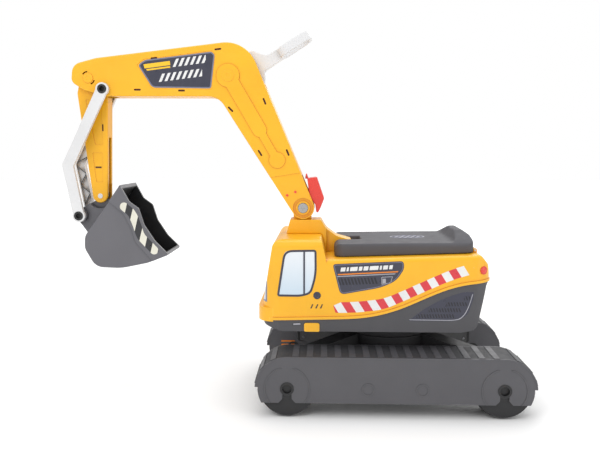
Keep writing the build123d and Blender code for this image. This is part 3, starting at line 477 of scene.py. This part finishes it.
MATERIALS = {
    # yellow_shell gets its own darker orange for the painted shade in grooves and inner corners
    "yellow_shell": plastic("yellow_shell", YELLOW, 0.34, grain_depth=0.012, worn=(0.93, 0.55, 0.06),
                            crevice_shade_colour=(0.62, 0.17, 0.006), shine=0.4, coat=0.1),
    "track_grey": grey("track_grey", 0.46),
    "pan_grey": grey("pan_grey", 0.42),
    "wheel_black": grey("wheel_black", 0.50),
    "seat_black": grey("seat_black", 0.62, grain=120.0, grain_depth=0.05, shine=0.22),
    "bucket_grey": grey("bucket_grey", 0.42),
    "liner_black": grey("liner_black", 0.40),
    "tray_grey": grey("tray_grey", 0.55),
    # white_plastic gets its own grey for the painted shade in grooves and inner corners
    "white_plastic": plastic("white_plastic", (0.70, 0.70, 0.705), 0.34, wear=0.0,
                             crevice_shade_colour=(0.46, 0.45, 0.44), shine=0.3),
    "latch_red": plastic("latch_red", (0.74, 0.045, 0.030), 0.28, worn=(0.85, 0.14, 0.09), coat=0.3),
    "glazing": glazing(),
    "steel": metal("steel", (0.60, 0.61, 0.63), 0.34),
    "chrome": metal("chrome", (0.46, 0.45, 0.44), 0.26, brushed=False),
    "slate": foil("slate_foil", SLATE),
    "pale_edge": foil("pale_edge_foil", (0.17, 0.175, 0.25)),
    "white_foil": foil("white_foil", (0.76, 0.76, 0.75)),
    "red_foil": foil("red_foil", (0.66, 0.040, 0.055)),
    "orange_foil": foil("orange_foil", (0.80, 0.22, 0.012)),
    "yellow_foil": foil("yellow_foil", (0.86, 0.52, 0.02)),
    "silver_foil": foil("silver_foil", (0.36, 0.36, 0.40), 0.26),
    "black_foil": foil("black_foil", (0.012, 0.012, 0.018)),
    "cream_foil": foil("cream_foil", (0.72, 0.70, 0.60)),
    # painted shade for the floors between the track's cross ribs
    "groove": foil("groove_shade", (0.042, 0.042, 0.046), 0.6),
    # painted shade for the backs of the small slots in the boom and the dipper
    "slot_floor_shade": foil("slot_shade", (0.085, 0.016, 0.004), 0.5),
    # near black: printed bars and lines, and painted shade over the slits under the door and the pan
    # tab's recess
    "charcoal_print_and_shade": foil("charcoal_print_and_shade", (0.024, 0.024, 0.027)),
}


def dress_nodes():
    """Gives every CAD node the finish of its own slot in the record."""
    for part in frame["record"]["subparts"]:
        node = NODES[part["node"]]
        finish = MATERIALS[part["material_slot"]]
        node.data.materials.clear()
        node.data.materials.append(finish)


# ---------------------------------------------------------------- house
WINDOW = ((-174, 174, 4), (-163.5, 242.5, 12), (-116.5, 243.5, 4), (-116, 206, 14),
          (-124, 178, 16), (-140, 173.8, 6))
WINDOW_FRAME = 3.0
WINDOW_BAR_X = -134.0


def side_window(side):
    name = SIDE_NAMES[side] + "_window"
    face = on_side(SHELL_HALF, side)
    outer = inset(rounded(WINDOW), -0.8)
    ring(name + "_frame", outer, WINDOW_FRAME, face, 0.7, MATERIALS["slate"], "house")
    inner = inset(outer, WINDOW_FRAME - 0.6)
    bar = bars(inner, (WINDOW_BAR_X - 1.2, 200), 2.4, 0.0, 1)
    plate(name + "_bar", bar, face, 0.6, MATERIALS["slate"], "house")


def windscreen():
    """Dark edge round the front window, printed into its finish."""
    recipe = Recipe("windscreen_print")
    low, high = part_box("windscreen")
    rise = recipe.height("Z", low[2], high[2])
    sky = recipe.mix(rise, (0.55, 0.64, 0.72), (0.72, 0.74, 0.77))
    streak = recipe.span(recipe.noise(12.0, 1.0, (0.3, 1.0, 0.25)), 0.0, 1.0, 0.45, 0.6)
    clear = recipe.mix(streak, sky, (0.74, 0.76, 0.79))
    margin = 3.2 * MM
    edges = recipe.height("Z", low[2] + margin, low[2] + margin * 0.9)
    for axis, start, end in (("Z", high[2] - margin, high[2] - margin * 0.9),
                             ("Y", low[1] + margin, low[1] + margin * 0.9),
                             ("Y", high[1] - margin, high[1] - margin * 0.9)):
        edges = recipe.larger(edges, recipe.height(axis, start, end))
    recipe.colour(recipe.mix(edges, clear, (0.17, 0.175, 0.25)))
    recipe.roughness(recipe.span(recipe.noise(40.0, 2.0), 0.12, 0.2))
    recipe.set(Coat_Weight=0.4, Coat_Roughness=0.08)
    NODES["windscreen"].data.materials.clear()
    NODES["windscreen"].data.materials.append(recipe.material)


LABEL_SLOPE = 0.055
LABEL_BAR_START = (-80.0, 211.5)
LABEL_BAR_HEIGHT = 6.0
LABEL_BARS = (9, 5, 13, 7, 9, 15, 5, 9, 7)
LABEL_UNDERLINE = ((-84, 207.8), (6, 212.8), (5, 211.0), (-83.6, 206.1))
LABEL_FINE_LINE = ((-86, 204.6), (2, 209.4), (1, 207.9), (-85.6, 203.3))
LABEL_SLITS = ((-84, 200.8, 1), (-23, 203.4, 1), (-22, 193.6, 1), (-80, 191.0, 1))
LABEL_BADGE = ((-19, 203.8, 1), (-2, 204.8, 1), (-5, 194.6, 2), (-18.6, 192.2, 1))
LABEL_BADGE_HALF = ((-17.4, 201.0, 0.5), (-12.4, 201.3, 0.5), (-12.4, 194.8, 0.5),
                    (-17.2, 193.9, 0.5))
LABEL = ((-91.6, 222.6, 5), (13.6, 227.8, 5), (14.6, 216, 10), (3, 198, 14), (-20, 187.5, 20),
         (-80, 176.5, 8))


def label(side):
    """Plate with bars, an underline and a vent pattern, in place of any lettering."""
    name = SIDE_NAMES[side] + "_label"
    face = on_side(SHELL_HALF, side)
    outer = rounded(LABEL)
    plate(name + "_back", [outer], face, STICKER, MATERIALS["slate"], "house")
    ring(name + "_border", inset(outer, 1.2), 0.9, on_side(SHELL_HALF + STICKER, side), INK,
         MATERIALS["pale_edge"], "house")
    inked = on_side(SHELL_HALF + STICKER, side)
    marks = []
    x, base = LABEL_BAR_START
    for length in LABEL_BARS:
        z = base + LABEL_SLOPE * (x - LABEL_BAR_START[0])
        marks.append(rounded(((x, z, 0.5), (x + length - 2, z + LABEL_SLOPE * (length - 2), 0.5),
                              (x + length - 1, z + LABEL_BAR_HEIGHT + LABEL_SLOPE * length, 0.5),
                              (x + 1, z + LABEL_BAR_HEIGHT, 0.5)), 2))
        x += length
    plate(name + "_marks", marks, inked, INK, MATERIALS["white_foil"], "house")
    plate(name + "_underline", [straight(LABEL_UNDERLINE)], inked, INK, MATERIALS["orange_foil"],
          "house")
    plate(name + "_line", [straight(LABEL_FINE_LINE)], inked, INK, MATERIALS["silver_foil"], "house")
    slits = bars(rounded(LABEL_SLITS, 2), (-83, 196), 5.0, -0.35, 12, 0.55)
    plate(name + "_slits", slits, inked, INK, MATERIALS["black_foil"], "house")
    ring(name + "_badge", rounded(LABEL_BADGE, 2), 0.9, inked, INK, MATERIALS["silver_foil"],
         "house")
    plate(name + "_badge_fill", [rounded(LABEL_BADGE_HALF, 2)], inked, INK,
          MATERIALS["silver_foil"], "house")


SLITS = (-122.5, -115.0, -108.0)


def shell_slits(side):
    """Painted shade: dark sheets over the three slanted slits under the door."""
    floors = []
    for x in SLITS:
        floors.append(rounded(((x - 2.0, 155.4, 0.8), (x - 0.2, 155.2, 0.8), (x + 2.0, 161.6, 0.8),
                               (x + 0.4, 161.8, 0.8)), 3))
    plate(SIDE_NAMES[side] + "_slit_painted_shade", floors, on_side(SHELL_HALF, side), 0.12,
          MATERIALS["charcoal_print_and_shade"], "house")


BAND_LINE = ((-90, 149.0), (-70, 149.1), (-48, 150.5), (-17, 154.9), (6.8, 164), (33, 176.1),
             (57.8, 187.4), (83.9, 198.7), (107, 206.4), (119, 209.4))
BAND_HEIGHT = 16.2
BAND_ENDS = (((-89.6, 157), (1.0, 0.35)), ((-90.0, 160), (0.45, -1.0)),
             ((117.5, 215), (-1.0, 0.10)), ((114.5, 221), (-0.8, -1.0)))
BAND_PITCH = 13.5
BAND_LEAN = -0.62
BAND_START = (-101.0, 157.0)


def hazard_band(side):
    """Slanted red and white bars along a band that climbs with the pan's edge."""
    name = SIDE_NAMES[side] + "_hazard"
    face = on_side(SHELL_HALF, side)
    low = smooth_line(BAND_LINE)
    high = [p + Vector((0, BAND_HEIGHT)) for p in low]
    area = low + high[::-1]
    for place, keep in BAND_ENDS:
        area = clip(area, Vector(place), Vector(keep).normalized())
    pair = 2 * BAND_PITCH
    red = bars(area, BAND_START, pair, BAND_LEAN, 9, 0.5)
    white = bars(area, (BAND_START[0] + BAND_PITCH, BAND_START[1]), pair, BAND_LEAN, 10, 0.5)
    plate(name + "_red", red, face, STICKER, MATERIALS["red_foil"], "house")
    plate(name + "_white", white, face, STICKER, MATERIALS["white_foil"], "house")


VENT_RIM = ((24, 138.4), (60, 138.2), (91, 138.6), (103, 144), (111, 158), (117, 178))
VENT_RIM_WIDTH = Vector((-0.7, 1.1))
VENT_ROWS = ((34, 91), (52, 101.5), (78, 108.5), (104, 115))
VENT = ((21.6, 137.2, 1), (92, 137.2, 10), (110, 146, 14), (121, 182, 6), (103, 181.8, 12),
        (75, 172.4, 20), (46, 156.5, 20))


def pan_vent(side):
    """Printed grille on the pan's flank: four rows of slits and a pale rim below."""
    name = SIDE_NAMES[side] + "_vent"
    face = on_side(PAN_HALF, side)
    outer = rounded(VENT)
    flat = clip(outer, Vector((118.0, 150)), Vector((-1, 0)))
    plate(name + "_back", [flat], face, STICKER, MATERIALS["slate"], "house")
    inked = on_side(PAN_HALF + STICKER, side)
    low = smooth_line(VENT_RIM)
    high = [p + VENT_RIM_WIDTH for p in low]
    plate(name + "_rim", [low + high[::-1]], inked, INK, MATERIALS["silver_foil"], "house")
    slits = []
    for row, (x0, x1) in enumerate(VENT_ROWS):
        z = 141.5 + 9.2 * row
        area = [Vector((x0, z)), Vector((x1, z + 0.6)), Vector((x1, z + 6.6)), Vector((x0, z + 6.0))]
        slits += bars(area, (x0, z), 4.2, -0.35, int((x1 - x0) / 4.2) + 1, 0.45)
    plate(name + "_slits", slits, inked, INK, MATERIALS["black_foil"], "house")


BUTTON = ((0.3, -0.4), (5.6, -0.4), (5.6, 0.5), (5.0, 1.0), (3.6, 1.1), (3.2, 0.5), (0.3, 0.5))
REFLECTOR = ((0.3, -0.6), (6.2, -0.6), (6.2, 1.0), (5.4, 1.6), (4.8, 1.2), (4.6, 1.3), (3.0, 2.0),
             (0.3, 2.3))


def side_trim(side):
    """Door button, rear reflector and the silver tab on the pan's front end, with painted shade in the
    tab's recess.
    """
    name = SIDE_NAMES[side]
    out = Vector((0, side, 0))
    face = on_side(SHELL_HALF, side)
    turned(name + "_door_button", BUTTON, face(-114.7, 175.1, 0), out, MATERIALS["slate"], "house")
    start = Vector((SWIVEL_X + 132.5 * MM, side * 0.3, 214 * MM))
    place, normal = surface_point("upper_shell", start, -out)
    turned(name + "_reflector", REFLECTOR, place, normal, MATERIALS["latch_red"], "house")
    pan = on_side(PAN_HALF, side)
    tab = rounded(((-151.5, 128.8, 1), (-138.5, 129.4, 1), (-138.8, 133.4, 1), (-151, 132.8, 1)), 3)
    # painted shade: a near black sheet round the tab, where its recess lies in shade
    plate(name + "_tab_recess_shade", [tab], pan, STICKER, MATERIALS["charcoal_print_and_shade"], "house")
    plate(name + "_tab", [inset(tab, 0.9)], pan, 0.7, MATERIALS["silver_foil"], "house")


# ---------------------------------------------------------------- boom, bucket, tracks, seat
BOOM_PANEL = ((-398.6, 525.0, 5), (-388, 532.8, 5), (-281.5, 545.2, 6), (-276.8, 540, 4),
              (-283.2, 488.2, 4), (-376.6, 489.8, 6))


def boom_panel(side):
    """Slate panel with a pale rim, twin bars and rows of slanted marks in place of lettering."""
    name = SIDE_NAMES[side] + "_boom_panel"
    outer = rounded(BOOM_PANEL)
    plate(name + "_rim", [outer], on_side(PANEL_HALF, side), STICKER, MATERIALS["pale_edge"],
          "boom")
    inner = inset(outer, 2.2)
    lifted = on_side(PANEL_HALF + STICKER, side)
    plate(name + "_back", [inner], lifted, THIN_INK, MATERIALS["slate"], "boom")
    inked = on_side(PANEL_HALF + STICKER + THIN_INK, side)
    slope = 0.125
    twin = []
    for z, thick, x0 in ((519.6, 6.4, -388), (515.6, 2.4, -384)):
        x1 = -347.0
        twin.append([Vector((x0, z + slope * (x0 + 388))), Vector((x1, z + slope * (x1 + 388))),
                     Vector((x1 - 0.8, z + thick + slope * (x1 + 388))),
                     Vector((x0 - 1.8, z + thick + slope * (x0 + 388)))])
    plate(name + "_bars", twin, inked, THIN_INK, MATERIALS["yellow_foil"], "boom")
    marks = []
    for x0, x1, z in ((-343.5, -291, 521.5), (-366, -297, 498.5)):
        corners = [Vector((x0, z)), Vector((x1, z + slope * (x1 - x0))),
                   Vector((x1, z + 12 + slope * (x1 - x0))), Vector((x0, z + 12))]
        marks += bars(corners, (x0, z), 8.6, 0.45, int((x1 - x0) / 8.6) + 1, 0.5)
    plate(name + "_marks", marks, inked, THIN_INK, MATERIALS["white_foil"], "boom")


STRIPE_ROUTE = ((-419.8, 303.0), (-408.3, 292.6), (-400.8, 276.0), (-394.6, 257.6),
                (-385.9, 247.0), (-373.4, 233.8))
STRIPE_WIDTH = 13.3
STRIPE_PITCH = 11.04


def cap(centre, start, steps=10):
    """Round end of a band: from a point on its rim, half a turn clockwise about the centre."""
    first = start - centre
    points = []
    for step in range(1, steps):
        a = pi * step / steps
        points.append(centre + Vector((first.x * cos(a) + first.y * sin(a),
                                       first.y * cos(a) - first.x * sin(a))))
    return points


def bucket_stripes(side):
    """Cream and charcoal bars, round at both ends, along the bucket's raised front band."""
    name = SIDE_NAMES[side] + "_bucket_stripes"
    line = smooth_line(STRIPE_ROUTE)
    outline = []
    back = []
    half = STRIPE_WIDTH / 2
    for i, here in enumerate(line):
        along = (line[min(i + 1, len(line) - 1)] - line[max(i - 1, 0)]).normalized()
        across = Vector((-along.y, along.x))
        outline.append(here + across * half)
        back.append(here - across * half)
    area = outline + cap(line[-1], outline[-1]) + back[::-1] + cap(line[0], back[0])
    face = on_side(BUCKET_HALF, side)
    first = (-423.2 - STRIPE_PITCH, 275.4)
    second = (-423.2, 275.4)
    cream = bars(area, first, 2 * STRIPE_PITCH, 0.25, 5, 0.5)
    dark = bars(area, second, 2 * STRIPE_PITCH, 0.25, 5, 0.5)
    plate(name + "_cream", cream, face, STICKER, MATERIALS["cream_foil"], "bucket")
    plate(name + "_dark", dark, face, STICKER, MATERIALS["charcoal_print_and_shade"], "bucket")


BOOM_SLOTS = ((-271.7, 548.8, 6.6), (-373.1, 535.6, 6.6), (-400.4, 486.7, 0), (-330.2, 485.1, 0),
              (-252.7, 455.8, -45), (-199.0, 468.1, -67.6), (-206.5, 387.1, -57.4),
              (-162.6, 387.9, -67.6))
DIPPER_SLOTS = ((-461, 427.6, 90), (-470, 364.1, 0))


def slot_painted_shade(side):
    """Painted shade: dark sheets on the backs of the small slots in the boom's and the dipper's walls.
    """
    for body, face, slots in (("boom", BOOM_HALF - 2.0, BOOM_SLOTS),
                              ("dipper", DIPPER_HALF - 1.6, DIPPER_SLOTS)):
        floors = []
        for x, z, turn in slots:
            half = Vector((cos(radians(turn)), sin(radians(turn)))) * 6.0
            floors.append(strip_between(Vector((x, z)) - half, Vector((x, z)) + half, 4.0))
        plate(SIDE_NAMES[side] + "_" + body + "_slot_painted_shade", floors, on_side(face, side), 0.1,
              MATERIALS["slot_floor_shade"], body, sunk=0.2)


def wheel_cap(side, end):
    """Flat dark cover over the spokes on a wheel's outer face."""
    wheel = end + "_" + SIDE_NAMES[side] + "_wheel"
    low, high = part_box(wheel)
    face = max(abs(low[1]), abs(high[1])) / MM - 1.0
    radius = (high[2] - low[2]) / 2 / MM
    disc = ellipse(((low[0] + high[0]) / 2 / MM - SWIVEL_X / MM, (low[2] + high[2]) / 2 / MM),
                   radius - 3.0, radius - 3.0)
    ring(wheel + "_cap", disc, radius - 15.0, on_side(face, side), 0.5, MATERIALS["wheel_black"],
         wheel, sunk=1.5)


RIB_PITCH = 20.8
RIB_WIDTH = 8.7
AXLE_X = 158.0
AXLE_Z = 44.0
BAND_R = 47.5


def tread_gap_shade(side):
    """Painted shade: darker sheets on the floors between the track's cross ribs, bent round both ends.
    """
    low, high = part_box("right_track_housing")
    inner = low[1] / MM + 3.2
    outer = high[1] / MM - 3.2

    def place(u, v, out):
        past = max(0.0, abs(u) - AXLE_X) / BAND_R
        end = 1 if u > 0 else -1
        x = end * (min(abs(u), AXLE_X) + sin(past) * (BAND_R + out))
        return Vector((SWIVEL_X + x * MM, side * v * MM, (AXLE_Z + cos(past) * (BAND_R + out)) * MM))

    flat = [i * RIB_PITCH for i in range(8)]
    ribs = flat + [AXLE_X + i * RIB_PITCH for i in (1, 2, 3)]
    floors = []
    for a, b in zip(ribs, ribs[1:]):
        start = a + RIB_WIDTH / 2 + 0.6
        width = b - a - RIB_WIDTH - 1.2
        steps = [start + width * i / 8 for i in range(9)]
        for end in (-1, 1):
            floors.append([Vector((end * u, inner)) for u in steps]
                          + [Vector((end * u, outer)) for u in steps[::-1]])
    plate(SIDE_NAMES[side] + "_tread_gap_shade", floors, place, 0.1, MATERIALS["groove"],
          "undercarriage")


MARK_LOW = 40.8
MARK_PITCH = 6.4


def track_marks(side):
    """Three orange bars on the inner face of the track's front end."""
    name = SIDE_NAMES[side] + "_track_marks"
    marks = []
    for row in range(3):
        z = MARK_LOW + MARK_PITCH * row
        marks.append(rounded(((-180, z, 0.6), (-155.5, z, 0.6), (-156, z + 2.4, 0.6),
                              (-179.5, z + 2.4, 0.6)), 2))
    plate(name, marks, on_side(TRACK_INNER, side, -1), STICKER, MATERIALS["orange_foil"],
          "undercarriage", sunk=0.7)


LINK_SPINE = (LINK_TOP, Vector((-495.8, 402.5)), Vector((-513.2, 367.6)), LINK_LOW)
LINK_REACH = 7.1                                       # from the link's middle line to its rim
TRUSS_BAY = 17.0


def link_truss(side):
    """Dark zigzag lines on the open inner side of the link."""
    lines = []
    for a, b in zip(LINK_SPINE, LINK_SPINE[1:]):
        along = (b - a).normalized()
        across = Vector((-along.y, along.x))
        bays = max(2, round((b - a).length / TRUSS_BAY))
        for i in range(bays):
            flip = LINK_REACH if i % 2 else -LINK_REACH
            start = a + (b - a) * (i / bays) + across * flip
            end = a + (b - a) * ((i + 1) / bays) - across * flip
            lines.append(strip_between(start, end, 1.3))
    plate(SIDE_NAMES[side] + "_link_truss", lines, on_side(LINK_INNER + 0.6, side, -1), 0.12,
          MATERIALS["charcoal_print_and_shade"], "links")


def seat_emblem():
    """Plain oval relief on the seat."""
    centre = (30.5, 0.0)
    outer = ellipse(centre, 28.0, 17.5)
    ring("seat_oval", outer, 2.6, on_seat, 0.5, MATERIALS["pale_edge"], "seat_lid")
    inside = ellipse(centre, 22.0, 12.0)
    leaves = bars(inside, (centre[0] - 20, 0), 9.0, 0.5, 5, 0.5)
    plate("seat_oval_bars", leaves, on_seat, 0.3, MATERIALS["pale_edge"], "seat_lid")


# ---------------------------------------------------------------- camera, lights, floor
CAMERA_PLACE = (0.05324, -1.12196, 0.3884)
CAMERA_DOWN = 6.02
CAMERA_TURN = 2.0
CAMERA_LENS = 41.42


def camera():
    data = bpy.data.cameras.new("camera")
    data.lens = CAMERA_LENS
    data.sensor_width = 36.0
    eye = bpy.data.objects.new("camera", data)
    eye.location = CAMERA_PLACE
    eye.rotation_euler = (radians(90 - CAMERA_DOWN), 0, radians(CAMERA_TURN))
    bpy.context.scene.collection.objects.link(eye)
    bpy.context.scene.camera = eye


def light(name, place, aim, size, power):
    data = bpy.data.lights.new(name, "AREA")
    data.shape = "DISK"
    data.size = size
    data.energy = power
    lamp = bpy.data.objects.new(name, data)
    lamp.location = place
    lamp.rotation_euler = (Vector(aim) - Vector(place)).to_track_quat("-Z", "Y").to_euler()
    bpy.context.scene.collection.objects.link(lamp)


LAMPS = (("key", (-1.1, -1.7, 1.9), 1.6, 20), ("fill", (1.9, -1.3, 0.9), 1.8, 9),
         ("top", (0.1, 0.3, 2.4), 2.0, 20), ("rim", (0.6, 2.0, 1.4), 1.6, 10))
AMBIENT = 0.72


def studio():
    low, high = CAD_BOUNDS
    heart = ((low[0] + high[0]) / 2, 0, (low[2] + high[2]) / 2)
    for name, place, size, power in LAMPS:
        light(name, place, heart, size, power)
    world = bpy.data.worlds.new("studio")
    world.use_nodes = True
    nodes = world.node_tree.nodes
    links = world.node_tree.links
    ambient = nodes["Background"]
    ambient.inputs["Color"].default_value = (1.0, 1.0, 1.0, 1)
    ambient.inputs["Strength"].default_value = AMBIENT
    backdrop = nodes.new("ShaderNodeBackground")
    backdrop.inputs["Color"].default_value = (1.0, 1.0, 1.0, 1)
    seen = nodes.new("ShaderNodeLightPath").outputs["Is Camera Ray"]
    chooser = nodes.new("ShaderNodeMixShader")
    links.new(seen, chooser.inputs[0])
    links.new(ambient.outputs[0], chooser.inputs[1])
    links.new(backdrop.outputs[0], chooser.inputs[2])
    links.new(chooser.outputs[0], nodes["World Output"].inputs["Surface"])
    bpy.context.scene.world = world
    bpy.context.scene.view_settings.view_transform = "Standard"


FLOOR_RADIUS = 9.0


def floor():
    """Pale paper that glows more with distance, so no horizon shows behind the object."""
    steps = 96
    verts = [(FLOOR_RADIUS * cos(2 * pi * i / steps), FLOOR_RADIUS * sin(2 * pi * i / steps), 0)
             for i in range(steps)]
    mesh = bpy.data.meshes.new("studio_floor")
    mesh.from_pydata(verts, [], [tuple(range(steps))])
    ground = bpy.data.objects.new("studio_floor", mesh)
    bpy.context.scene.collection.objects.link(ground)
    recipe = Recipe("studio_paper")
    recipe.colour(recipe.mix(recipe.noise(3.0, 2.0), (0.94, 0.94, 0.94), (0.96, 0.96, 0.96)))
    recipe.set(Roughness=0.9, Emission_Color=(1.0, 1.0, 1.0, 1))
    away = recipe.nodes.new("ShaderNodeVectorMath")
    away.operation = "LENGTH"
    recipe.links.new(recipe.place, away.inputs[0])
    glow = recipe.span(away.outputs["Value"], 0.0, 0.4, 0.7, 2.6)
    recipe.links.new(glow, recipe.shader.inputs["Emission Strength"])
    mesh.materials.append(recipe.material)


# ---------------------------------------------------------------- assembly
def main():
    dress_nodes()
    windscreen()
    for side in SIDES:
        side_window(side)
        label(side)
        shell_slits(side)
        hazard_band(side)
        pan_vent(side)
        side_trim(side)
        boom_panel(side)
        bucket_stripes(side)
        slot_painted_shade(side)
        tread_gap_shade(side)
        wheel_cap(side, "front")
        wheel_cap(side, "rear")
        track_marks(side)
        link_truss(side)
    seat_emblem()
    soften("seat", 1.2, 6, MATERIALS["seat_black"], "seat_lid")
    soften("control_lever", 0.8, 6, MATERIALS["white_plastic"], "lever")
    soften("boom_pedestal", 0.9, 5, MATERIALS["yellow_shell"], "house")
    soften("latch_lever", 0.5, 5, MATERIALS["latch_red"], "latch")
    camera()
    studio()
    floor()


main()
